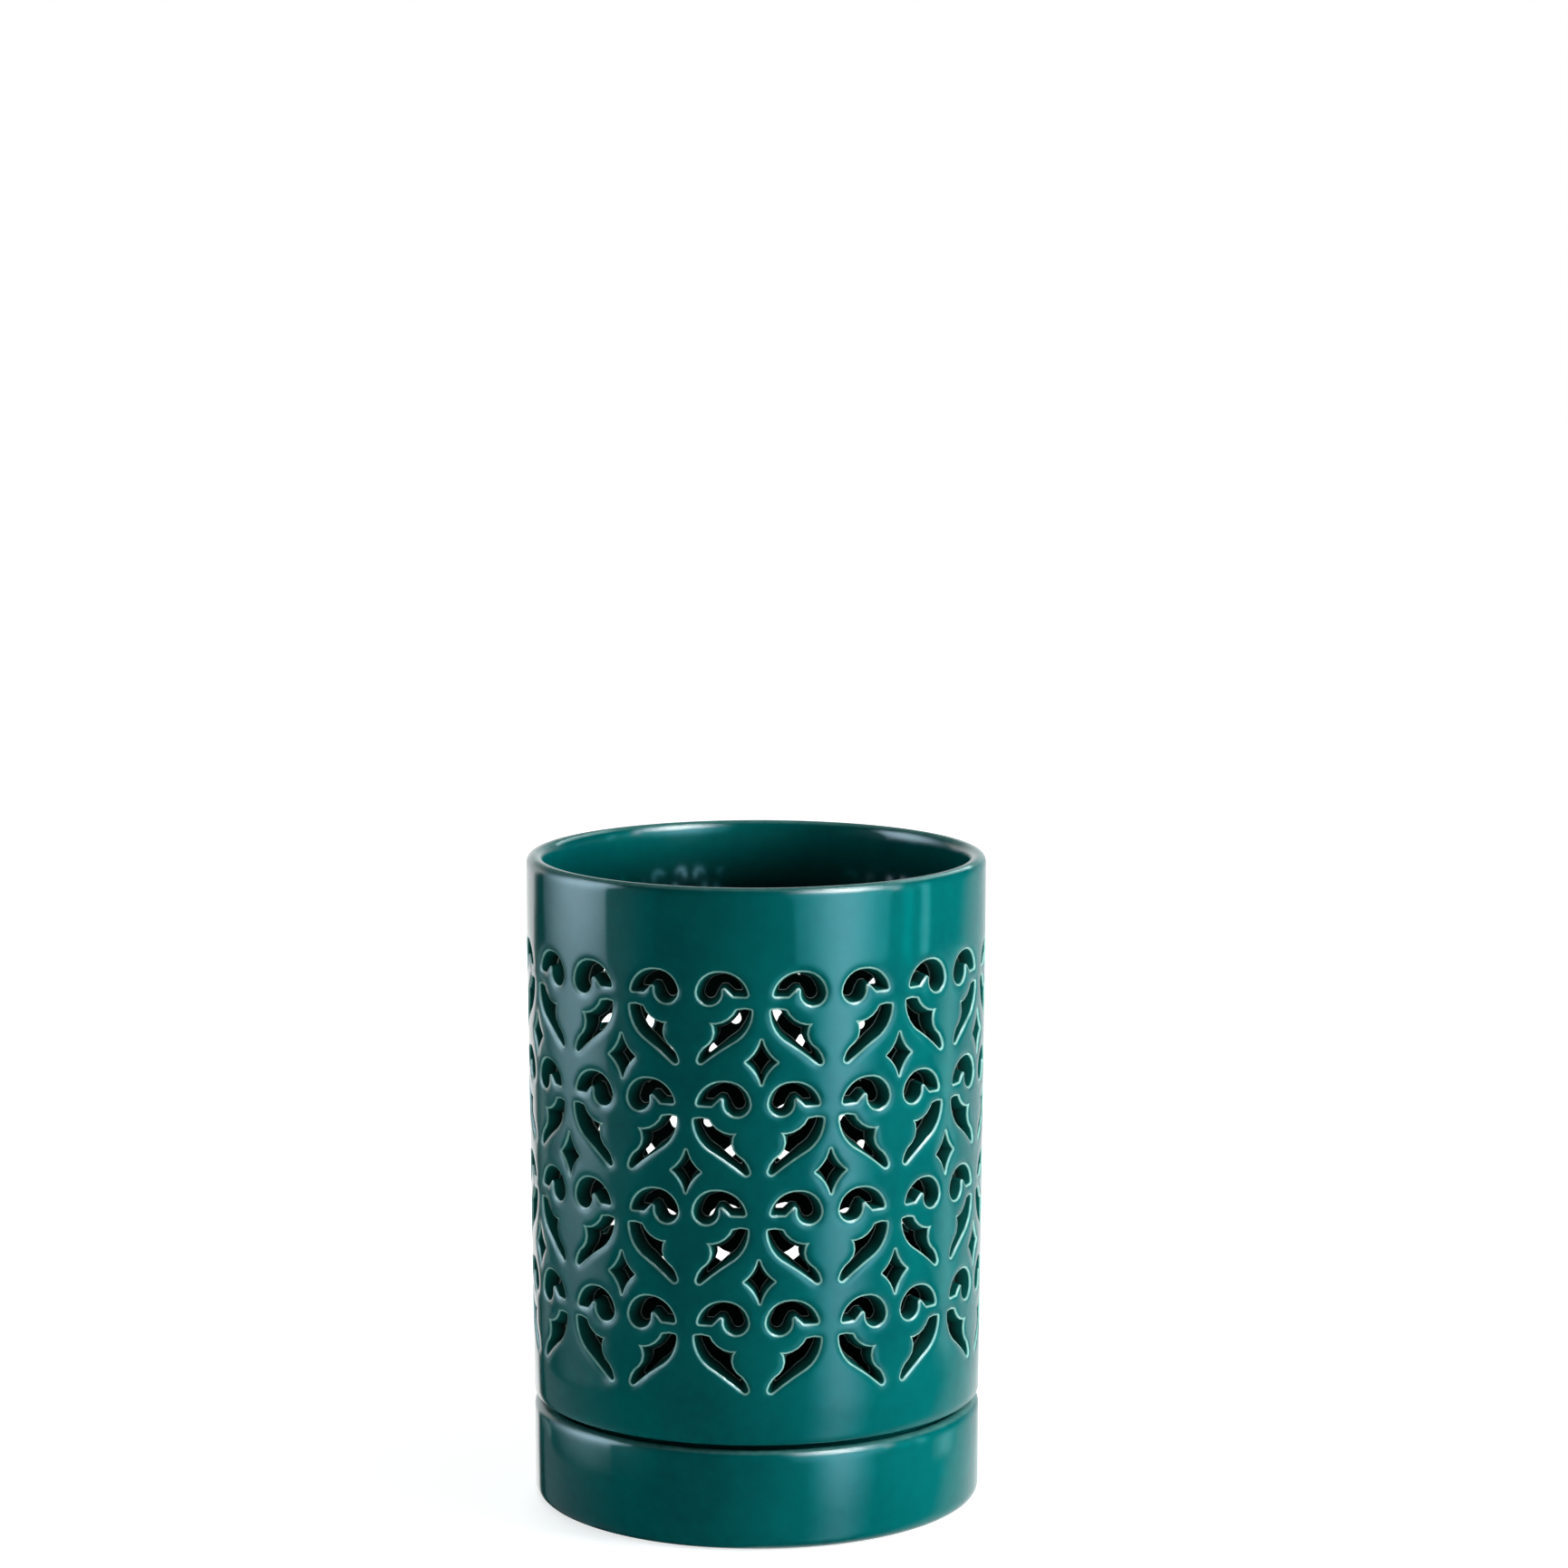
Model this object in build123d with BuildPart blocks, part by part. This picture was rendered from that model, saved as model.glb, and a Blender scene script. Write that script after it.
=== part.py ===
"""Glazed pot with a pierced wall for ventilated roots, standing in its own saucer.

Two cast and glazed ceramic pieces, in millimetres, +Z up.  The origin is on the
pot's axis at the surface the saucer stands on, and the front is towards -Y.
"""

import os
from math import cos, degrees, pi, radians, sin

from build123d import *

# Outside sizes of the two pieces standing together
overall_height = 230.0
rim_radius = 81.0
base_radius = 79.3
wall = 6.0

# Saucer
saucer_height = 34.7
saucer_floor = 7.0
saucer_recess = 1.5
saucer_ring_width = 11.0
saucer_heel_radius = 3.5
saucer_cove_radius = 4.0

# How the pot sits in the saucer: its foot goes inside the saucer's wall
seat_clearance = 1.5
reveal = 2.3

# Pot below the pierced wall
foot_ring_width = 8.0
foot_ring_height = 6.0
foot_edge_radius = 3.0
pot_floor = 6.0
shoulder_rise = 9.0
shoulder_radius = 3.0
lower_edge_radius = 1.5
centre_drain_radius = 8.0
drain_radius = 5.0
drain_margin = 18.8
drain_count = 6

# Plain bands above and below the slots, and the rounded lip of both pieces
rim_band = 27.0
shoulder_band = 18.0
lip_radius = 2.6

# Slot pattern: a cell is a pair of scrolls over a pair of leaves, with a
# diamond under them, and each row is turned half a cell from the row above
cell_width = 48.5
row_pitch = 37.9
first_cell_angle = 0.8
row_drop = 1.6
scroll_centre = (13.4, -6.0)
leaf_centre = (11.5, -22.5)
leaf_drop = 32.0
diamond_centre = (0.0, -31.2)
diamond_width = 10.4
diamond_height = 13.6
diamond_hollow = 0.75
cutter_overrun = 4.0

# Places that follow from those sizes
pot_lower_edge = saucer_height + reveal
foot_radius = base_radius - wall - seat_clearance
foot_bore = foot_radius - wall
drain_circle_radius = foot_radius - foot_ring_width - drain_margin - drain_radius
underside = saucer_floor + foot_ring_height
inner_floor = underside + pot_floor
band_bottom = overall_height - rim_band
shoulder_top = pot_lower_edge + shoulder_rise
first_row = band_bottom - row_drop
lip = min(lip_radius, 0.45 * wall)
cells = int(2 * pi * base_radius / cell_width)
rows = 1 + int((first_row - leaf_drop - pot_lower_edge - shoulder_band) / row_pitch)


def outer_radius(height):
    """Radius of the pot's outside: straight at the rim, then a slight taper."""
    share = min(1.0, (height - pot_lower_edge) / (band_bottom - pot_lower_edge))
    return base_radius + share * (rim_radius - base_radius)


def slot_plane(angle, height):
    """A plane facing out of the wall, with its X round the pot and its Y up."""
    turn = radians(angle)
    outward = (sin(turn), -cos(turn), 0)
    reach = outer_radius(height) + cutter_overrun
    origin = (reach * outward[0], reach * outward[1], height)
    return Plane(origin=origin, x_dir=(cos(turn), sin(turn), 0), z_dir=outward)


# Scroll: a tail that swells over a rounded tongue of wall into a round end
with BuildSketch() as scroll:
    with BuildLine():
        tail = (-8.6, -2.0)
        crown = (0.6, 5.4)
        shoulder = (8.5, -1.4)
        tongue_right = (0.85, 0.65)
        tongue_left = (-1.2, 0.85)
        tail_heel = (-4.0, -2.0)
        ThreePointArc(tail, (-6.2, 3.1), crown)
        ThreePointArc(crown, (6.4, 3.4), shoulder)
        ThreePointArc(shoulder, (4.4, -5.5), tongue_right)
        ThreePointArc(tongue_right, (-0.1, 1.3), tongue_left)
        Polyline(tongue_left, tail_heel, tail)
    make_face()

# Leaf: blunt at the top, with one barb on its outer side and a long tip
with BuildSketch() as leaf:
    with BuildLine():
        inner_top = (-7.9, 9.0)
        outer_top = (-3.8, 9.2)
        barb = (4.7, 3.75)
        waist = (5.9, -3.5)
        tip_outer = (9.5, -8.1)
        tip_inner = (7.9, -8.8)
        belly = (-1.5, -2.3)
        ThreePointArc(inner_top, (-5.8, 9.55), outer_top)
        ThreePointArc(outer_top, (-1.2, 5.7), barb)
        ThreePointArc(barb, (3.7, 0.3), waist)
        ThreePointArc(waist, (8.1, -5.6), tip_outer)
        ThreePointArc(tip_outer, (9.1, -9.2), tip_inner)
        Line(tip_inner, belly)
        ThreePointArc(belly, (-5.95, 2.45), inner_top)
    make_face()

# Diamond: four points joined by sides that are drawn in a little
with BuildSketch() as diamond:
    with BuildLine():
        right = (diamond_width / 2, 0)
        top = (0, diamond_height / 2)
        left = (-diamond_width / 2, 0)
        bottom = (0, -diamond_height / 2)
        for start, end in ((right, top), (top, left), (left, bottom), (bottom, right)):
            middle = ((start[0] + end[0]) / 2, (start[1] + end[1]) / 2)
            slant = (middle[0] ** 2 + middle[1] ** 2) ** 0.5
            drawn_in = 1 - diamond_hollow / slant
            ThreePointArc(start, (middle[0] * drawn_in, middle[1] * drawn_in), end)
    make_face()

# Saucer: an upright wall with a round lip, standing on a flat ring
with BuildPart() as saucer:
    with BuildSketch(Plane.XZ):
        with BuildLine():
            FilletPolyline(
                (0, saucer_recess),
                (base_radius - saucer_ring_width, saucer_recess),
                (base_radius - saucer_ring_width, 0),
                (base_radius, 0),
                (base_radius, saucer_height),
                (base_radius - wall, saucer_height),
                (base_radius - wall, saucer_floor),
                (0, saucer_floor),
                radius=[0, 0, 0, saucer_heel_radius, lip, lip, saucer_cove_radius, 0],
                close=True,
            )
        make_face()
    revolve(axis=Axis.Z)
saucer.part.label = "saucer"

# Pot: one wall from the foot ring to the lip, with the slots cut square through it
with BuildPart() as slotted_pot:
    with BuildSketch(Plane.XZ):
        with BuildLine():
            FilletPolyline(
                (0, underside),
                (foot_radius - foot_ring_width, underside),
                (foot_radius - foot_ring_width, saucer_floor),
                (foot_radius, saucer_floor),
                (foot_radius, pot_lower_edge),
                (base_radius, pot_lower_edge),
                (rim_radius, band_bottom),
                (rim_radius, overall_height),
                (rim_radius - wall, overall_height),
                (rim_radius - wall, band_bottom),
                (outer_radius(shoulder_top) - wall, shoulder_top),
                (foot_bore, pot_lower_edge + shoulder_radius),
                (foot_bore, inner_floor),
                (0, inner_floor),
                radius=[
                    0,
                    0,
                    0,
                    foot_edge_radius,
                    0,
                    lower_edge_radius,
                    0,
                    lip,
                    lip,
                    0,
                    shoulder_radius,
                    shoulder_radius,
                    shoulder_radius,
                    0,
                ],
                close=True,
            )
        make_face()
    revolve(axis=Axis.Z)

    with BuildSketch(Plane.XY.offset(underside)):
        Circle(centre_drain_radius)
        with PolarLocations(drain_circle_radius, drain_count):
            Circle(drain_radius)
    extrude(amount=pot_floor, mode=Mode.SUBTRACT)

    cell_angle = 360 / cells
    for row in range(rows):
        datum = first_row - row * row_pitch
        row_turn = first_cell_angle + (row % 2) * cell_angle / 2
        for cell in range(cells):
            axis_angle = row_turn + cell * cell_angle
            for outline, centre in ((scroll, scroll_centre), (leaf, leaf_centre)):
                height = datum + centre[1]
                swing = degrees(centre[0] / outer_radius(height))
                with BuildSketch(slot_plane(axis_angle + swing, height)):
                    add(outline.sketch)
                with BuildSketch(slot_plane(axis_angle - swing, height)):
                    add(outline.sketch.mirror(Plane.YZ))
            if row < rows - 1:
                with BuildSketch(slot_plane(axis_angle, datum + diamond_centre[1])):
                    add(diamond.sketch)
    extrude(amount=-(wall + 2 * cutter_overrun), mode=Mode.SUBTRACT)
slotted_pot.part.label = "slotted_pot"

os.makedirs("parts", exist_ok=True)
export_step(saucer.part, "parts/saucer.step")
export_step(slotted_pot.part, "parts/slotted_pot.step")
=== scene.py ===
import math
import random

import bmesh
import bpy
from mathutils import Matrix, Vector
from mathutils.geometry import intersect_point_line


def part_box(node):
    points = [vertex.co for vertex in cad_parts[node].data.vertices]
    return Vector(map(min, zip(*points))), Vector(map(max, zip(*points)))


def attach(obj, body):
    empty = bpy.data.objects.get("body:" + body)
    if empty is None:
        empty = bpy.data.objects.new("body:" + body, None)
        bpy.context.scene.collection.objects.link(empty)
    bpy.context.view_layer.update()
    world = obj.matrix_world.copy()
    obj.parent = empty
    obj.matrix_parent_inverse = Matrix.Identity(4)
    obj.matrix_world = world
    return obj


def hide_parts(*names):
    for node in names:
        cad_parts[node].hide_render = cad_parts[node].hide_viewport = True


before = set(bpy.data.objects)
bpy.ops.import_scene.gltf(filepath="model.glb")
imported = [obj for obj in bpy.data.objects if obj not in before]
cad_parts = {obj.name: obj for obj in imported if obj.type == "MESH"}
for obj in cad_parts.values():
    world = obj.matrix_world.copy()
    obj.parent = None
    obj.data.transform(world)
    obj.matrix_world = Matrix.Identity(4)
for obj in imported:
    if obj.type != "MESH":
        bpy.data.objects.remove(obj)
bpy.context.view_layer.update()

# Saucer: a cast stoneware dish with upright sides that catches what drains from the pot.
# It is dipped in the same teal glaze as the pot, and only the ring it stands on is wiped bare.
# The pot's foot goes down inside it and stands on its floor.  Sizes of pieces are in millimetres.
MM = 0.001
TURN_STEPS = 144
scene = bpy.context.scene
saucer_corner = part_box("saucer")[1] / MM
saucer_radius = saucer_corner.x
saucer_height = saucer_corner.z
wall = 6.0
saucer_floor = 7.0
standing_ring_depth = 1.5
standing_ring_width = 11.0
heel_round = 3.5
heel_steps = 4
lip_round = 2.6
lip_steps = 5
cove_round = 4.0
cove_steps = 4
lip_glaze_break = 1.0
lip_thinness = 0.2
seam_weld = 0.005
same_place = 0.01
# Material slots: the teal glaze, the bare clay, and the matt inside that is darkened with painted shade
glazed, wiped, inside_shaded = range(3)


def new_clay():
    """A bmesh whose points carry how thin the glaze is, and how much painted shade darkens them towards
    the inside.
    """
    bm = bmesh.new()
    for name in ("glaze_thin", "inside_shade"):
        bm.verts.layers.float.new(name)
    return bm


def turn_section(bm, section):
    """Spins a section of (radius, height) points once round the pot's axis."""
    points = [bm.verts.new((0, -radius, height)) for radius, height in section]
    lines = [bm.edges.new(pair) for pair in zip(points, points[1:])]
    bmesh.ops.spin(bm, geom=points + lines, axis=(0, 0, 1), angle=math.tau,
                   steps=TURN_STEPS, use_merge=True)
    bmesh.ops.remove_doubles(bm, verts=bm.verts, dist=seam_weld)


def round_ring(bm, radius, height, size, steps):
    """Rounds the corner that the section makes at that radius and height."""
    def on_ring(vert):
        return max(abs(vert.co.z - height), abs(vert.co.xy.length - radius)) < same_place

    ring = [edge for edge in bm.edges if on_ring(edge.verts[0]) and on_ring(edge.verts[1])]
    bmesh.ops.bevel(bm, geom=ring, offset=size, segments=steps, profile=0.5,
                    affect="EDGES", material=-1)


def add_object(bm, name, materials):
    """Puts a bmesh in the scene as an object with its materials."""
    mesh = bpy.data.meshes.new(name)
    bm.to_mesh(mesh)
    bm.free()
    for material in materials:
        mesh.materials.append(material)
    made = bpy.data.objects.new(name, mesh)
    scene.collection.objects.link(made)
    return made


def finish_piece(bm, name, materials):
    """Turns a bmesh in millimetres into a smooth piece of the object, in metres."""
    bmesh.ops.scale(bm, vec=(MM, MM, MM), verts=bm.verts)
    piece = add_object(bm, name, materials)
    piece.data.shade_smooth()
    return piece


def linear(code):
    """A colour written as an sRGB hex code, as the linear values that shaders take."""
    channels = [int(code[start:start + 2], 16) / 255 for start in (1, 3, 5)]
    return [c / 12.92 if c <= 0.04045 else ((c + 0.055) / 1.055) ** 2.4 for c in channels] + [1.0]


def new_material(name):
    """A new material, with its node tree and its main shader."""
    material = bpy.data.materials.new(name)
    material.use_nodes = True
    return material, material.node_tree, material.node_tree.nodes["Principled BSDF"]


def add_node(tree, kind, settings, inputs):
    """Adds a node to a tree, with its settings, and its inputs set or linked."""
    made = tree.nodes.new(kind)
    for name, value in settings.items():
        setattr(made, name, value)
    for name, value in inputs.items():
        if isinstance(value, bpy.types.NodeSocket):
            tree.links.new(value, made.inputs[name])
        else:
            made.inputs[name].default_value = value
    return made


# Teal glaze on stoneware: a glossy coloured glass that pools deep on flat walls and breaks to pale mint
# where it runs thin over an edge, as the glaze_thin attribute says.  Where the inside-shade attribute
# nears 1, on the way into the pot or a slot, painted shade darkens it to nearly black.  It lies rounder
# than the clay.
teal_glaze, glaze, glaze_shader = new_material("teal_glaze")
glaze_shader.inputs["Roughness"].default_value = 0.09
glaze_shader.inputs["IOR"].default_value = 1.5
glaze_place = add_node(glaze, "ShaderNodeTexCoord", {}, {}).outputs["Object"]
pool_size = 45 * MM
pools = add_node(glaze, "ShaderNodeTexNoise", {}, {
    "Vector": glaze_place, "Scale": 1 / pool_size, "Detail": 3.0, "Roughness": 0.55})
mottle_size = 4 * MM
mottle = add_node(glaze, "ShaderNodeTexNoise", {}, {
    "Vector": glaze_place, "Scale": 1 / mottle_size, "Detail": 2.0})
mottle_share = 0.25
glaze_depth = add_node(glaze, "ShaderNodeMix", {"data_type": "FLOAT"}, {
    "Factor": mottle_share, "A": pools.outputs["Fac"], "B": mottle.outputs["Fac"]})
pooled_colour = add_node(glaze, "ShaderNodeMix", {"data_type": "RGBA"}, {
    "Factor": glaze_depth.outputs[0], "A": linear("#00555c"), "B": linear("#008d89")})
inside_shade = add_node(glaze, "ShaderNodeAttribute", {"attribute_name": "inside_shade"}, {})
# Painted shade: the glaze is darkened to nearly black on the pot's inside and deep in the slots
shaded_colour = add_node(glaze, "ShaderNodeMix", {"data_type": "RGBA"}, {
    "Factor": inside_shade.outputs["Fac"], "A": pooled_colour.outputs["Result"], "B": linear("#021211")})
glaze_thin = add_node(glaze, "ShaderNodeAttribute", {"attribute_name": "glaze_thin"}, {})
mottle_low, mottle_high = 0.3, 0.7
weak_break, strong_break = 0.7, 1.15
uneven_break = add_node(glaze, "ShaderNodeMapRange", {}, {
    "Value": mottle.outputs["Fac"], "From Min": mottle_low, "From Max": mottle_high,
    "To Min": weak_break, "To Max": strong_break})
thin_share = add_node(glaze, "ShaderNodeMath", {"operation": "MULTIPLY", "use_clamp": True}, {
    0: glaze_thin.outputs["Fac"], 1: uneven_break.outputs["Result"]})
glaze_colour = add_node(glaze, "ShaderNodeMix", {"data_type": "RGBA"}, {
    "Factor": thin_share.outputs[0], "A": shaded_colour.outputs["Result"], "B": linear("#b4f4e8")})
glaze.links.new(glaze_colour.outputs["Result"], glaze_shader.inputs["Base Color"])
ripple_size = 22 * MM
ripple_height = 0.6 * MM
ripple = add_node(glaze, "ShaderNodeTexNoise", {}, {
    "Vector": glaze_place, "Scale": 1 / ripple_size, "Detail": 1.0})
edge_softness = 4.5 * MM
soft_edges = add_node(glaze, "ShaderNodeBevel", {"samples": 8}, {"Radius": edge_softness})
glaze_bump = add_node(glaze, "ShaderNodeBump", {}, {
    "Height": ripple.outputs["Fac"], "Strength": 0.35, "Distance": ripple_height,
    "Normal": soft_edges.outputs["Normal"]})
glaze.links.new(glaze_bump.outputs["Normal"], glaze_shader.inputs["Normal"])

# Bare stoneware: the fired clay that shows where the glaze was wiped off, matt and slightly gritty.
bare_stoneware, clay, clay_shader = new_material("bare_stoneware")
clay_shader.inputs["Roughness"].default_value = 0.85
clay_place = add_node(clay, "ShaderNodeTexCoord", {}, {}).outputs["Object"]
grit_size = 1.5 * MM
grit_height = 0.3 * MM
grit = add_node(clay, "ShaderNodeTexNoise", {}, {
    "Vector": clay_place, "Scale": 1 / grit_size, "Detail": 4.0})
clay_colour = add_node(clay, "ShaderNodeMix", {"data_type": "RGBA"}, {
    "Factor": grit.outputs["Fac"], "A": linear("#b7ab98"), "B": linear("#ddd4c4")})
clay.links.new(clay_colour.outputs["Result"], clay_shader.inputs["Base Color"])
clay_bump = add_node(clay, "ShaderNodeBump", {}, {
    "Height": grit.outputs["Fac"], "Strength": 0.4, "Distance": grit_height})
clay.links.new(clay_bump.outputs["Normal"], clay_shader.inputs["Normal"])

dish = new_clay()
dish_bore = saucer_radius - wall
ring_bore = saucer_radius - standing_ring_width
turn_section(dish, [
    (0, standing_ring_depth), (ring_bore, standing_ring_depth), (ring_bore, 0), (saucer_radius, 0),
    (saucer_radius, saucer_height), (dish_bore, saucer_height),
    (dish_bore, saucer_floor), (0, saucer_floor)])
round_ring(dish, saucer_radius, 0, heel_round, heel_steps)
round_ring(dish, saucer_radius, saucer_height, lip_round, lip_steps)
round_ring(dish, dish_bore, saucer_height, lip_round, lip_steps)
round_ring(dish, dish_bore, saucer_floor, cove_round, cove_steps)
bmesh.ops.recalc_face_normals(dish, faces=dish.faces)
dish_thin = dish.verts.layers.float["glaze_thin"]
for vert in dish.verts:
    if vert.co.z > saucer_height - lip_glaze_break:
        vert[dish_thin] = lip_thinness
for face in dish.faces:
    if face.calc_center_median().z < same_place:
        face.material_index = wiped
saucer = finish_piece(dish, "saucer_glazed", [teal_glaze, bare_stoneware])
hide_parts("saucer")
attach(saucer, "saucer")

# Slotted pot: one cast stoneware pot, cut through with scrolls, leaves and diamonds while the clay was
# firm but damp, so that air passes through.  Each cut edge is sponged round, and the glaze breaks pale
# along it.  The foot goes down inside the saucer and stands on a ring that was wiped bare.
pot_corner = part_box("slotted_pot")[1] / MM
rim_radius = pot_corner.x
pot_top = pot_corner.z
base_radius = saucer_radius
lower_edge = 37.0
taper_top = 203.0
slots_bottom = 52.0

# Cut edges: a flat and a round on the outside, leaning sides, and a pale line before the inner round
slot_edge_flat = 0.15
slot_edge_round = 0.65
inner_line = 0.6
inner_edge_round = 0.5
edge_flat_thinness = 0.65
edge_crest_thinness = 1.0
side_thinness = 0.1
inner_line_thinness = 0.9
# How much painted shade darkens the lower part of each cut's outer round
side_shade = 0.45
slot_lean = 0.4
line_lean_share = 1 / 3
inner_flare_share = 1 / 2
corner_round = 1.15
corner_steps = 3
blunt_corner = (math.radians(40), math.radians(100))

# Slot pattern: where each kind of cut lies in its cell, and how much hand work strays from that
cells = 10
rows = 4
row_pitch = 37.95
first_row = 201.9
half_cell = math.pi / cells
row_drift_degrees = (1.2, 0.6, 0.5, 0.35)
scroll_place = (13.4, -6.0)
leaf_place = (11.5, -22.5)
diamond_place = (0.0, -31.4)
pattern_radius = 80.0
layout_hub = 30.0
cut_shift = 0.3
cut_turn = 0.025
cut_spread = 0.025
web_mark = 3
bisect_snap = 1e-4


def outer_radius(height):
    """Radius of the pot's outside: straight at the rim, then a slight taper."""
    share = min(1.0, (height - lower_edge) / (taper_top - lower_edge))
    return base_radius + share * (rim_radius - base_radius)


def arc(start, through, end, steps):
    """Points of the circle through three points, from start up to the step before end."""
    a, b, c = (complex(*point) for point in (start, through, end))
    w = (c - a) / (b - a)
    centre = a + (b - a) * (w - abs(w) ** 2) / (2j * w.imag)
    turn = [math.atan2((p - centre).imag, (p - centre).real) for p in (a, b, c)]
    sweep = (turn[2] - turn[0]) % math.tau
    if (turn[1] - turn[0]) % math.tau > sweep:
        sweep -= math.tau
    radius = abs(a - centre)
    angles = [turn[0] + sweep * step / steps for step in range(steps)]
    return [(centre.real + radius * math.cos(t), centre.imag + radius * math.sin(t)) for t in angles]


def nearest_on(spine, spot):
    """The nearest place to a spot on a line of points."""
    places = []
    for start, end in zip(spine, spine[1:]):
        share = intersect_point_line(spot, start, end)[1]
        places.append(start.lerp(end, min(max(share, 0), 1)))
    return min(places, key=lambda place: (place - spot).length)


def cut_lining(outline, spine, lean, half_wall):
    """The lining of one cut: a rounded outer edge, then sides that lean in towards its spine."""
    bm = new_clay()
    thin = bm.verts.layers.float["glaze_thin"]
    inside = bm.verts.layers.float["inside_shade"]
    bm.faces.new([bm.verts.new((x, y, half_wall)) for x, y in outline])
    bm.normal_update()
    corners = [(loop.vert, math.pi - loop.calc_angle()) for face in bm.faces for loop in face.loops]
    for vert, turn in corners:
        if blunt_corner[0] < turn < blunt_corner[1]:
            bmesh.ops.bevel(bm, geom=[vert], offset=corner_round * math.tan(turn / 2),
                            segments=corner_steps, profile=0.5, affect="VERTICES", material=-1)
    opening = bm.faces[:]
    if opening[0].normal.z < 0:
        opening[0].normal_flip()
    halfway = slot_edge_round * math.sqrt(0.5)
    throat = 2 * half_wall - slot_edge_round - inner_edge_round
    line_lean = lean * line_lean_share
    flare = -lean * inner_flare_share
    # Each ring: how far in, how far down, share of the way to the spine, thinness, painted shade, finish
    rings = [
        (slot_edge_flat, 0, 0, edge_flat_thinness, 0, glazed),
        (halfway, slot_edge_round - halfway, 0, edge_crest_thinness, 0, glazed),
        (slot_edge_round - halfway, halfway, 0, side_thinness, side_shade, glazed),
        # From here inwards the cut's sides, throat and inner round are darkened fully with painted shade
        (0, throat - inner_line, lean, 0, 1, inside_shaded),
        (0, inner_line, line_lean, inner_line_thinness, 1, inside_shaded),
        (0, inner_edge_round, flare, 0, 1, inside_shaded),
        (0, 0, flare, 0, 1, inside_shaded)]
    for inset, drop, lean_in, thinness, darkness, finish in rings:
        band = bmesh.ops.inset_individual(bm, faces=opening, thickness=inset, depth=-drop,
                                          use_even_offset=True)
        for face in band["faces"]:
            face.material_index = finish
        for vert in opening[0].verts:
            vert[thin] = thinness
            vert[inside] = darkness
            vert.co.xy += lean_in * (nearest_on(spine, vert.co.xy) - vert.co.xy)
    bmesh.ops.delete(bm, geom=opening, context="FACES_ONLY")
    lining = bpy.data.meshes.new("lining")
    bm.to_mesh(lining)
    bm.free()
    return lining


def place_mesh(bm, mesh, matrix):
    """Adds a mesh to a bmesh at a place."""
    held = len(bm.verts)
    bm.from_mesh(mesh)
    bm.verts.ensure_lookup_table()
    bmesh.ops.transform(bm, matrix=matrix, verts=bm.verts[held:])


def face_plate(bm, circles, height):
    """Fills a plate's upper or lower face, between border circles and the cuts."""
    edges = [edge for edge in bm.edges if edge.is_boundary
             and max(abs(vert.co.z - height) for vert in edge.verts) < same_place]
    for radius in circles:
        made = bmesh.ops.create_circle(bm, segments=TURN_STEPS, radius=radius,
                                       matrix=Matrix.Translation((0, 0, height)))
        edges += list({edge for vert in made["verts"] for edge in vert.link_edges})
    web = bmesh.ops.triangle_fill(bm, use_beauty=True, edges=edges, normal=(0, 0, height))["geom"]
    return [item for item in web if isinstance(item, bmesh.types.BMFace)]


# Outlines of the three kinds of cut, and the spines that their sides lean in to
scroll = (
    arc((-9.9, -2.1), (-7.2, 3.4), (0.4, 6.5), 8) + arc((0.4, 6.5), (6.9, 4.1), (9.5, -1.3), 6)
    + arc((9.5, -1.3), (4.5, -6.5), (-0.65, -0.66), 11)
    + arc((-0.65, -0.66), (-0.77, -0.4), (-1.07, -0.44), 4)
    + [(-1.07, -0.44), (-3.73, -3.2), (-6.3, -3.25), (-9.0, -3.3)])
leaf = (
    arc((-9.1, 10.0), (-5.9, 10.45), (-2.7, 9.9), 2) + arc((-2.7, 9.9), (0.2, 6.3), (6.4, 4.75), 5)
    + arc((6.4, 4.75), (5.05, 1.1), (6.7, -2.6), 4) + arc((6.7, -2.6), (9.4, -5.1), (10.9, -8.4), 3)
    + arc((10.9, -8.4), (10.0, -10.45), (7.9, -10.15), 5) + [(7.9, -10.15), (4.6, -7.5), (1.3, -5.1)]
    + arc((-1.9, -3.0), (-6.75, 1.3), (-9.1, 10.0), 7))
diamond = (
    arc((5.8, 0.63), (2.75, 3.7), (0.88, 7.8), 5) + arc((0.88, 7.8), (0, 8.4), (-0.88, 7.8), 4)
    + arc((-0.88, 7.8), (-2.75, 3.7), (-5.8, 0.63), 5) + arc((-5.8, 0.63), (-6.08, 0), (-5.8, -0.63), 3)
    + arc((-5.8, -0.63), (-2.75, -3.7), (-0.88, -7.8), 5) + arc((-0.88, -7.8), (0, -8.4), (0.88, -7.8), 4)
    + arc((0.88, -7.8), (2.75, -3.7), (5.8, -0.63), 5) + arc((5.8, -0.63), (6.08, 0), (5.8, 0.63), 3))
scroll_spine = [Vector(p) for p in ((-4.6, 0.8), (-0.6, 3.2), (3.4, 1.6), (5.2, -2.0))]
leaf_spine = [Vector(p) for p in ((-6.3, 8.2), (-2.6, 3.2), (1.8, 0.2), (4.4, -3.1))]
diamond_spine = [Vector(p) for p in ((0, 1.4), (1.1, 0), (0, -1.4), (-1.1, 0), (0, 1.4))]

# Inside of the pot and sides of the slots: nearly matt, teal at the top of the slots' sides, and darkened
# by painted shade to green-black down them and on the inside of the pot.  Along the slots' inner edges it
# is thin and pale.
painted_inside_shade, slip, slip_shader = new_material("painted_inside_shade")
slip_shader.inputs["Roughness"].default_value = 0.6
slip_shader.inputs["Specular IOR Level"].default_value = 0.0
slip_place = add_node(slip, "ShaderNodeTexCoord", {}, {}).outputs["Object"]
brush_size = 12 * MM
brush_height = 0.4 * MM
brushing = add_node(slip, "ShaderNodeTexNoise", {}, {
    "Vector": slip_place, "Scale": 1 / brush_size, "Detail": 4.0})
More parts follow.
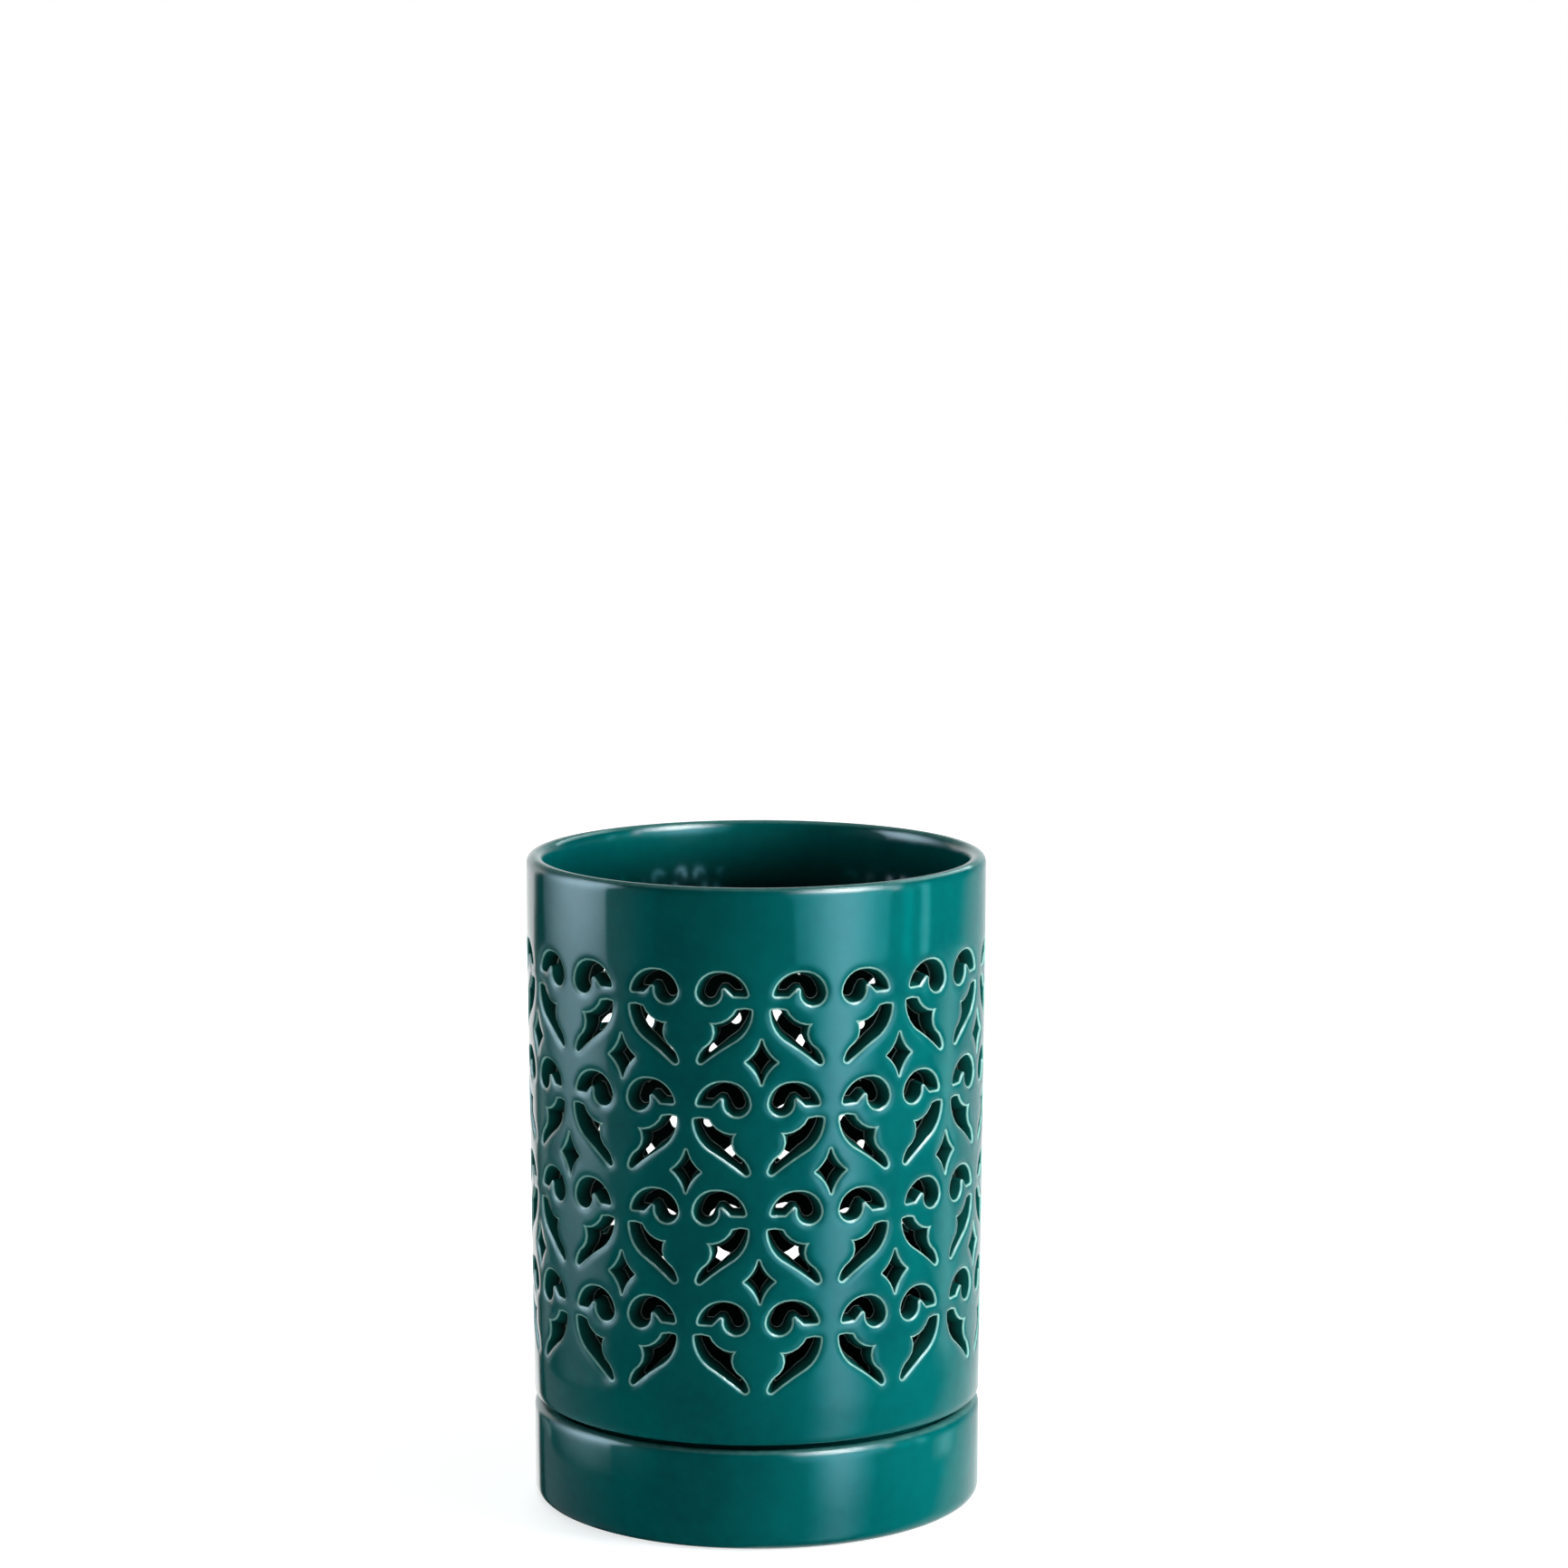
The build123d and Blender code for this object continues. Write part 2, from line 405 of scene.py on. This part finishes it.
# Painted shade: the green-black of the pot's shaded inside, varied by the noise
inside_shade_colour = add_node(slip, "ShaderNodeMix", {"data_type": "RGBA"}, {
    "Factor": brushing.outputs["Fac"], "A": linear("#101b19"), "B": linear("#1f3833")})
slip_inside_shade = add_node(slip, "ShaderNodeAttribute", {"attribute_name": "inside_shade"}, {})
# The slots' sides run from the glaze's teal at the top into that painted shade deeper down
shaded_side_colour = add_node(slip, "ShaderNodeMix", {"data_type": "RGBA"}, {
    "Factor": slip_inside_shade.outputs["Fac"], "A": linear("#00867f"), "B": inside_shade_colour.outputs["Result"]})
slip_thin = add_node(slip, "ShaderNodeAttribute", {"attribute_name": "glaze_thin"}, {})
pale_from = 0.2
slip_pale = add_node(slip, "ShaderNodeMapRange", {}, {
    "Value": slip_thin.outputs["Fac"], "From Min": pale_from})
slip_colour = add_node(slip, "ShaderNodeMix", {"data_type": "RGBA"}, {
    "Factor": slip_pale.outputs["Result"], "A": shaded_side_colour.outputs["Result"], "B": linear("#c8e0d8")})
slip.links.new(slip_colour.outputs["Result"], slip_shader.inputs["Base Color"])
slip_bump = add_node(slip, "ShaderNodeBump", {}, {
    "Height": brushing.outputs["Fac"], "Strength": 0.3, "Distance": brush_height})
slip.links.new(slip_bump.outputs["Normal"], slip_shader.inputs["Normal"])

# The cuts are laid out on a flat ring, where the distance past its hub is the height on the pot
shell = new_clay()
scroll_lining = cut_lining(scroll, scroll_spine, slot_lean, wall / 2)
leaf_lining = cut_lining(leaf, leaf_spine, slot_lean, wall / 2)
diamond_lining = cut_lining(diamond, diamond_spine, slot_lean, wall / 2)
random.seed(7)
for row in range(rows):
    for cell in range(cells):
        axis = pattern_radius * ((2 * cell + row % 2) * half_cell + math.radians(row_drift_degrees[row]))
        cuts = [(scroll_lining, scroll_place, 1), (scroll_lining, scroll_place, -1),
                (leaf_lining, leaf_place, 1), (leaf_lining, leaf_place, -1)]
        if row < rows - 1:
            cuts.append((diamond_lining, diamond_place, 1))
        for lining, (across, up), side in cuts:
            spot = Vector((axis + side * across + random.uniform(-cut_shift, cut_shift),
                           first_row - row * row_pitch + up + random.uniform(-cut_shift, cut_shift), 0))
            spread = 1 + random.uniform(-cut_spread, cut_spread)
            place_mesh(shell, lining, Matrix.Translation(spot)
                       @ Matrix.Rotation(random.uniform(-cut_turn, cut_turn), 4, "Z")
                       @ Matrix.Diagonal((side * spread, spread, 1, 1)))
for vert in shell.verts:
    angle = vert.co.x / pattern_radius
    reach = layout_hub + vert.co.y
    vert.co = (reach * math.cos(angle), reach * math.sin(angle), vert.co.z)

# The web between the cuts is filled on both faces, and split at every step, so that it can be bent round
borders = (layout_hub + slots_bottom, layout_hub + taper_top)
for face in face_plate(shell, borders, wall / 2) + face_plate(shell, borders, -wall / 2):
    face.material_index = web_mark
for step in range(TURN_STEPS // 2):
    angle = math.tau * step / TURN_STEPS
    web_parts = set()
    for face in shell.faces:
        if face.material_index == web_mark:
            web_parts.update([face], face.edges, face.verts)
    bmesh.ops.bisect_plane(shell, geom=list(web_parts), dist=bisect_snap, plane_co=(0, 0, 0),
                           plane_no=(-math.sin(angle), math.cos(angle), 0))
for face in shell.faces:
    if face.material_index == web_mark:
        face.material_index = glazed

# The ring stands up as the pot's wall
for vert in shell.verts:
    height = vert.co.xy.length - layout_hub
    angle = math.atan2(vert.co.y, vert.co.x)
    radius = outer_radius(height) - wall / 2 + vert.co.z
    vert.co = (radius * math.sin(angle), -radius * math.cos(angle), height)

# Rim, shoulder, foot and floor of the same pot, which were turned on a wheel and not cut.
# The floor has drain holes, and the pierced wall is welded to these parts at its two plain borders.
foot_radius = 71.8
foot_bore = 65.8
foot_bottom = 7.0
foot_ring_bore = 63.8
underside = 13.0
inner_floor = 19.0
shoulder_foot = 40.0
shoulder_top = 46.0
drain_plate_radius = 52.0
centre_drain = 8.0
side_drain = 5.0
drain_circle = 40.0
side_drains = 6
drain_steps = 28
drain_lean = 0.06
drain_spine = [Vector((0, 0)), Vector((0, 1))]
shoulder_round = 3.0
foot_round = 3.0
lower_edge_round = 1.5
border_weld = 0.01
inside_margin = 0.1
inside_face_margin = 0.3
wiped_height = 0.5


def bore_radius(height):
    """Radius of the pot's inside: the bore of the foot, and above it the inner face of the wall."""
    return foot_bore if height < lower_edge + inside_margin else outer_radius(height) - wall


plate = new_clay()
half_floor = (inner_floor - underside) / 2
for count in range(side_drains + 1):
    size, reach = (side_drain, drain_circle) if count else (centre_drain, 0)
    turn = math.tau * count / side_drains
    mouth = size + slot_edge_flat + slot_edge_round
    angles = [math.tau * step / drain_steps for step in range(drain_steps)]
    outline = [(mouth * math.cos(angle), mouth * math.sin(angle)) for angle in angles]
    place_mesh(plate, cut_lining(outline, drain_spine, drain_lean, half_floor),
               Matrix.Translation((reach * math.cos(turn), reach * math.sin(turn), 0)))
face_plate(plate, (drain_plate_radius,), half_floor)
face_plate(plate, (drain_plate_radius,), -half_floor)
bmesh.ops.translate(plate, vec=(0, 0, underside + half_floor), verts=plate.verts)

turned = new_clay()
shoulder_bore = outer_radius(shoulder_top) - wall
turn_section(turned, [
    (rim_radius, taper_top), (rim_radius, pot_top), (rim_radius - wall, pot_top),
    (rim_radius - wall, taper_top)])
turn_section(turned, [
    (outer_radius(slots_bottom), slots_bottom), (base_radius, lower_edge), (foot_radius, lower_edge),
    (foot_radius, foot_bottom), (foot_ring_bore, foot_bottom), (foot_ring_bore, underside),
    (drain_plate_radius, underside)])
turn_section(turned, [
    (drain_plate_radius, inner_floor), (foot_bore, inner_floor), (foot_bore, shoulder_foot),
    (shoulder_bore, shoulder_top), (outer_radius(slots_bottom) - wall, slots_bottom)])
round_ring(turned, rim_radius, pot_top, lip_round, lip_steps)
round_ring(turned, rim_radius - wall, pot_top, lip_round, lip_steps)
round_ring(turned, base_radius, lower_edge, lower_edge_round, corner_steps)
round_ring(turned, foot_radius, foot_bottom, foot_round, corner_steps)
round_ring(turned, foot_bore, inner_floor, shoulder_round, corner_steps)
round_ring(turned, foot_bore, shoulder_foot, shoulder_round, corner_steps)
round_ring(turned, shoulder_bore, shoulder_top, shoulder_round, corner_steps)
for other in (plate, turned):
    part = bpy.data.meshes.new("part")
    other.to_mesh(part)
    other.free()
    place_mesh(shell, part, Matrix.Identity(4))
bmesh.ops.remove_doubles(shell, verts=shell.verts, dist=border_weld)
bmesh.ops.recalc_face_normals(shell, faces=shell.faces)
shell_thin = shell.verts.layers.float["glaze_thin"]
shell_inside_shade = shell.verts.layers.float["inside_shade"]
for vert in shell.verts:
    height = vert.co.z
    in_bore = vert.co.xy.length < bore_radius(height) + inside_margin
    # The pot's inside is darkened to nearly black with painted shade
    if in_bore and inner_floor - inside_margin < height < taper_top + inside_margin:
        vert[shell_inside_shade] = 1.0
    if height > pot_top - lip_glaze_break:
        vert[shell_thin] = lip_thinness
for face in shell.faces:
    middle = face.calc_center_median()
    in_bore = middle.xy.length < bore_radius(middle.z) + inside_face_margin
    if middle.z < foot_bottom + wiped_height:
        face.material_index = wiped
    # Faces on the pot's inside take the matt material with painted shade
    elif in_bore and inner_floor - inside_margin < middle.z < taper_top:
        face.material_index = inside_shaded
pot = finish_piece(shell, "slotted_pot_glazed", [teal_glaze, bare_stoneware, painted_inside_shade])
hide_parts("slotted_pot")
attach(pot, "pot")

# Studio: a pale floor and a white surround, lit by a key on the right, a weak fill and a back light.
# The glaze doesn't mirror those lamps.  It mirrors a round wall that is dark in front and pale behind,
# with soft boxes and panels standing before it that nothing else sees.  Its sizes are in metres.
pot_middle = Vector((0, 0, 0.12))


def seen_directly(tree):
    """A socket that is 1 for what the camera sees, straight or in a mirror or through glass."""
    path = add_node(tree, "ShaderNodeLightPath", {}, {})
    straight = add_node(tree, "ShaderNodeMath", {"operation": "MAXIMUM"}, {
        0: path.outputs["Is Camera Ray"], 1: path.outputs["Is Glossy Ray"]})
    return add_node(tree, "ShaderNodeMath", {"operation": "MAXIMUM"}, {
        0: straight.outputs[0], 1: path.outputs["Is Transmission Ray"]}).outputs[0]


def towards(azimuth, elevation, distance):
    """A place in the room, by its direction from the pot: 0 is the front, and right is positive."""
    turn, lift = math.radians(azimuth), math.radians(elevation)
    return pot_middle + distance * Vector((
        math.sin(turn) * math.cos(lift), -math.cos(turn) * math.cos(lift), math.sin(lift)))


def stage_mesh(bm, name, material):
    """Puts a part of the studio in the scene."""
    thing = add_object(bm, name, [material])
    return thing


def mirrored_only(thing):
    """Leaves a part of the studio to be seen only in the glaze."""
    thing.visible_camera = False
    thing.visible_diffuse = False
    thing.visible_transmission = False
    thing.visible_shadow = False


world = bpy.data.worlds.new("white_surround")
scene.world = world
world.use_nodes = True
surround = world.node_tree
surround_light = 0.1
surround_seen = 1.0
surround_strength = add_node(surround, "ShaderNodeMapRange", {}, {
    "Value": seen_directly(surround), "To Min": surround_light, "To Max": surround_seen})
surround.nodes["Background"].inputs["Color"].default_value = linear("#ffffff")
surround.links.new(surround_strength.outputs["Result"], surround.nodes["Background"].inputs["Strength"])

floor_half_size = 6.0
floor_near, floor_far = 0.15, 1.0
floor_near_glow, floor_far_glow = 0.7, 1.0
floor_paint, paint, paint_shader = new_material("floor_paint")
paint_shader.inputs["Base Color"].default_value = linear("#e4e4e2")
paint_shader.inputs["Roughness"].default_value = 0.9
paint_shader.inputs["Emission Color"].default_value = linear("#ffffff")
floor_place = add_node(paint, "ShaderNodeTexCoord", {}, {}).outputs["Object"]
floor_reach = add_node(paint, "ShaderNodeVectorMath", {"operation": "LENGTH"}, {0: floor_place})
floor_glow = add_node(paint, "ShaderNodeMapRange", {"interpolation_type": "SMOOTHSTEP"}, {
    "Value": floor_reach.outputs["Value"], "From Min": floor_near, "From Max": floor_far,
    "To Min": floor_near_glow, "To Max": floor_far_glow})
floor_seen = add_node(paint, "ShaderNodeMath", {"operation": "MULTIPLY"}, {
    0: floor_glow.outputs["Result"], 1: seen_directly(paint)})
paint.links.new(floor_seen.outputs[0], paint_shader.inputs["Emission Strength"])
slab = bmesh.new()
bmesh.ops.create_grid(slab, x_segments=1, y_segments=1, size=floor_half_size)
floor = stage_mesh(slab, "floor", floor_paint)
floor.visible_glossy = False

studio_radius = 2.2
studio_foot = -1.6
studio_top = 2.4
tone_slant = -0.055
front_share = 0.25
dark_tone = "#1b1b1b"
tones_by_azimuth = ((120, dark_tone), (131, "#90969a"), (157, "#c0c4c6"), (178, "#d6d8d9"),
                    (205, "#f4f4f4"), (216, "#ffffff"), (220, "#606060"), (223, dark_tone))
wall_paint, shades, wall_shader = new_material("studio_wall_paint")
shades.nodes.remove(wall_shader)
wall_place = add_node(shades, "ShaderNodeTexCoord", {}, {}).outputs["Object"]
bearing = add_node(shades, "ShaderNodeTexGradient", {"gradient_type": "RADIAL"}, {"Vector": wall_place})
rise = add_node(shades, "ShaderNodeSeparateXYZ", {}, {"Vector": wall_place})
slanted = add_node(shades, "ShaderNodeMath", {"operation": "MULTIPLY_ADD"}, {
    0: rise.outputs["Z"], 1: tone_slant, 2: bearing.outputs["Fac"]})
shade = add_node(shades, "ShaderNodeValToRGB", {}, {"Fac": slanted.outputs[0]})
stops = shade.color_ramp.elements
stops[0].color = stops[1].color = linear(dark_tone)
for azimuth, tone in tones_by_azimuth:
    stops.new((azimuth / 360 + front_share) % 1).color = linear(tone)
fade_low, fade_high = 0.5, 1.3
wall_low_glow, wall_high_glow = 1.4, 0.1
fall_off = add_node(shades, "ShaderNodeMapRange", {"interpolation_type": "SMOOTHSTEP"}, {
    "Value": rise.outputs["Z"], "From Min": fade_low, "From Max": fade_high,
    "To Min": wall_low_glow, "To Max": wall_high_glow})
wall_face = add_node(shades, "ShaderNodeEmission", {}, {
    "Color": shade.outputs["Color"], "Strength": fall_off.outputs["Result"]})
shades.links.new(wall_face.outputs["Emission"], shades.nodes["Material Output"].inputs["Surface"])
hanging = bmesh.new()
turn_section(hanging, [
    (0, studio_foot), (studio_radius, studio_foot), (studio_radius, studio_top), (0, studio_top)])
mirrored_only(stage_mesh(hanging, "studio_wall", wall_paint))


def soft_box(name, azimuth, elevation, distance, half_size, colours, edge_share, glow_by_height,
             brightest=0.0):
    """A soft box facing the pot, which fades and changes colour away from its brightest upright line.

    The colours are at its sides and on that line, edge_share is how much of its glow is left at its
    sides, and its glow changes evenly between two pairs of height and glow.
    """
    light_face, tree, shader = new_material(name)
    tree.nodes.remove(shader)
    side_colour, line_colour = colours
    (low, low_glow), (high, high_glow) = glow_by_height
    box_place = add_node(tree, "ShaderNodeTexCoord", {}, {}).outputs["Object"]
    point = add_node(tree, "ShaderNodeSeparateXYZ", {}, {"Vector": box_place})
    to_line = add_node(tree, "ShaderNodeMath", {"operation": "SUBTRACT"}, {
        0: point.outputs["X"], 1: brightest})
    off_line = add_node(tree, "ShaderNodeMath", {"operation": "ABSOLUTE"}, {0: to_line.outputs[0]})
    reach = half_size[0] + abs(brightest)
    across = add_node(tree, "ShaderNodeMapRange", {"interpolation_type": "SMOOTHSTEP"}, {
        "Value": off_line.outputs[0], "From Min": reach, "From Max": 0.0}).outputs["Result"]
    box_colour = add_node(tree, "ShaderNodeMix", {"data_type": "RGBA"}, {
        "Factor": across, "A": linear(side_colour), "B": linear(line_colour)})
    share = add_node(tree, "ShaderNodeMapRange", {}, {"Value": across, "To Min": edge_share})
    up = add_node(tree, "ShaderNodeMapRange", {}, {
        "Value": point.outputs["Z"], "From Min": low, "From Max": high,
        "To Min": low_glow, "To Max": high_glow})
    glow = add_node(tree, "ShaderNodeMath", {"operation": "MULTIPLY"}, {
        0: share.outputs["Result"], 1: up.outputs["Result"]})
    cloth = add_node(tree, "ShaderNodeEmission", {}, {
        "Color": box_colour.outputs["Result"], "Strength": glow.outputs[0]})
    tree.links.new(cloth.outputs["Emission"], tree.nodes["Material Output"].inputs["Surface"])
    panel = bmesh.new()
    bmesh.ops.create_grid(panel, x_segments=1, y_segments=1, size=1)
    bmesh.ops.scale(panel, vec=(half_size[0], half_size[1], 1), verts=panel.verts)
    upright = Matrix.Rotation(math.radians(90), 3, "X")
    bmesh.ops.rotate(panel, cent=(0, 0, 0), matrix=upright, verts=panel.verts)
    box = stage_mesh(panel, name, light_face)
    box.location = towards(azimuth, elevation, distance) - pot_middle * math.cos(math.radians(elevation))
    box.rotation_euler = (math.radians(-elevation), 0, math.radians(azimuth))
    mirrored_only(box)


soft_box("right_soft_box", azimuth=43, elevation=0, distance=1.4, half_size=(0.56, 1.5),
         colours=("#48e8ff", "#a4e6ff"), edge_share=0.0, glow_by_height=((-0.5, 1.8), (0.0, 6.4)))
soft_box("right_window", azimuth=43, elevation=20, distance=1.2, half_size=(0.56, 0.5),
         colours=("#68e2f6", "#a0e6ff"), edge_share=0.3, glow_by_height=((-0.5, 5.6), (0.5, 5.6)))
soft_box("right_low_panel", azimuth=111, elevation=-8, distance=1.6, half_size=(0.32, 0.14),
         colours=("#b4f6fa", "#bcfaff"), edge_share=0.3, glow_by_height=((-0.1, 1.45), (0.1, 1.45)))
soft_box("left_soft_box", azimuth=-103.6, elevation=0, distance=1.4, half_size=(0.68, 1.5),
         colours=("#ceedff", "#ceedff"), edge_share=0.1, glow_by_height=((-0.37, 0.1), (0.5, 8.6)),
         brightest=0.25)
soft_box("left_low_panel", azimuth=-104, elevation=-32, distance=1.2, half_size=(0.87, 0.36),
         colours=("#b8c8d0", "#b8c8d0"), edge_share=0.0, glow_by_height=((-0.4, 0.38), (0.4, 0.38)),
         brightest=-0.44)
soft_box("left_panel", azimuth=-63.5, elevation=0, distance=1.6, half_size=(0.384, 1.5),
         colours=("#009294", "#8cb6bc"), edge_share=1.0, glow_by_height=((-0.4, 0.0), (-0.1, 1.0)),
         brightest=-0.38)
soft_box("left_rear_panel", azimuth=-133, elevation=-8, distance=1.6, half_size=(0.28, 0.14),
         colours=("#d8fafc", "#d8fafc"), edge_share=0.3, glow_by_height=((-0.1, 0.5), (0.1, 0.5)))
soft_box("first_pane", azimuth=79, elevation=13, distance=1.4, half_size=(0.075, 0.4),
         colours=("#00f0f0", "#00f0f0"), edge_share=1.0, glow_by_height=((-0.4, 1.3), (0.4, 1.3)))
soft_box("second_pane", azimuth=90, elevation=13, distance=1.4, half_size=(0.085, 0.4),
         colours=("#40f0f0", "#90f4ff"), edge_share=1.0, glow_by_height=((-0.4, 2.4), (0.4, 2.4)))
soft_box("upper_soft_box", azimuth=57, elevation=45, distance=1.4, half_size=(0.5, 0.6),
         colours=("#d8ecff", "#ffffff"), edge_share=0.1, glow_by_height=((-0.6, 34.0), (0.6, 34.0)))
soft_box("rear_soft_box", azimuth=152, elevation=40, distance=1.4, half_size=(0.08, 0.3),
         colours=("#c8f4ff", "#e6fbff"), edge_share=0.2, glow_by_height=((-0.5, 12.0), (0.5, 12.0)))


def area_light(name, place, size, power):
    """A soft lamp that faces the pot, and that the glaze doesn't mirror."""
    data = bpy.data.lights.new(name, "AREA")
    data.energy = power
    data.size = size
    lamp = bpy.data.objects.new(name, data)
    lamp.location = place
    lamp.rotation_euler = (pot_middle - place).to_track_quat("-Z", "Y").to_euler()
    lamp.visible_camera = False
    lamp.visible_glossy = False
    scene.collection.objects.link(lamp)


area_light("key", towards(azimuth=73, elevation=16, distance=1.1), size=0.45, power=9.6)
area_light("fill", towards(azimuth=-50, elevation=20, distance=1.2), size=0.6, power=0.58)
area_light("back_light", towards(azimuth=195, elevation=40, distance=1.4), size=0.8, power=8.0)

camera_drop = 7.98
camera_turn = -0.344
camera_data = bpy.data.cameras.new("camera")
camera_data.lens = 107.5
camera_data.sensor_width = 36
camera = bpy.data.objects.new("camera", camera_data)
camera.location = (0, -1.631, 0.483)
camera.rotation_euler = (math.radians(90 - camera_drop), 0, math.radians(camera_turn))
scene.collection.objects.link(camera)
scene.camera = camera
scene.view_settings.view_transform = "Standard"
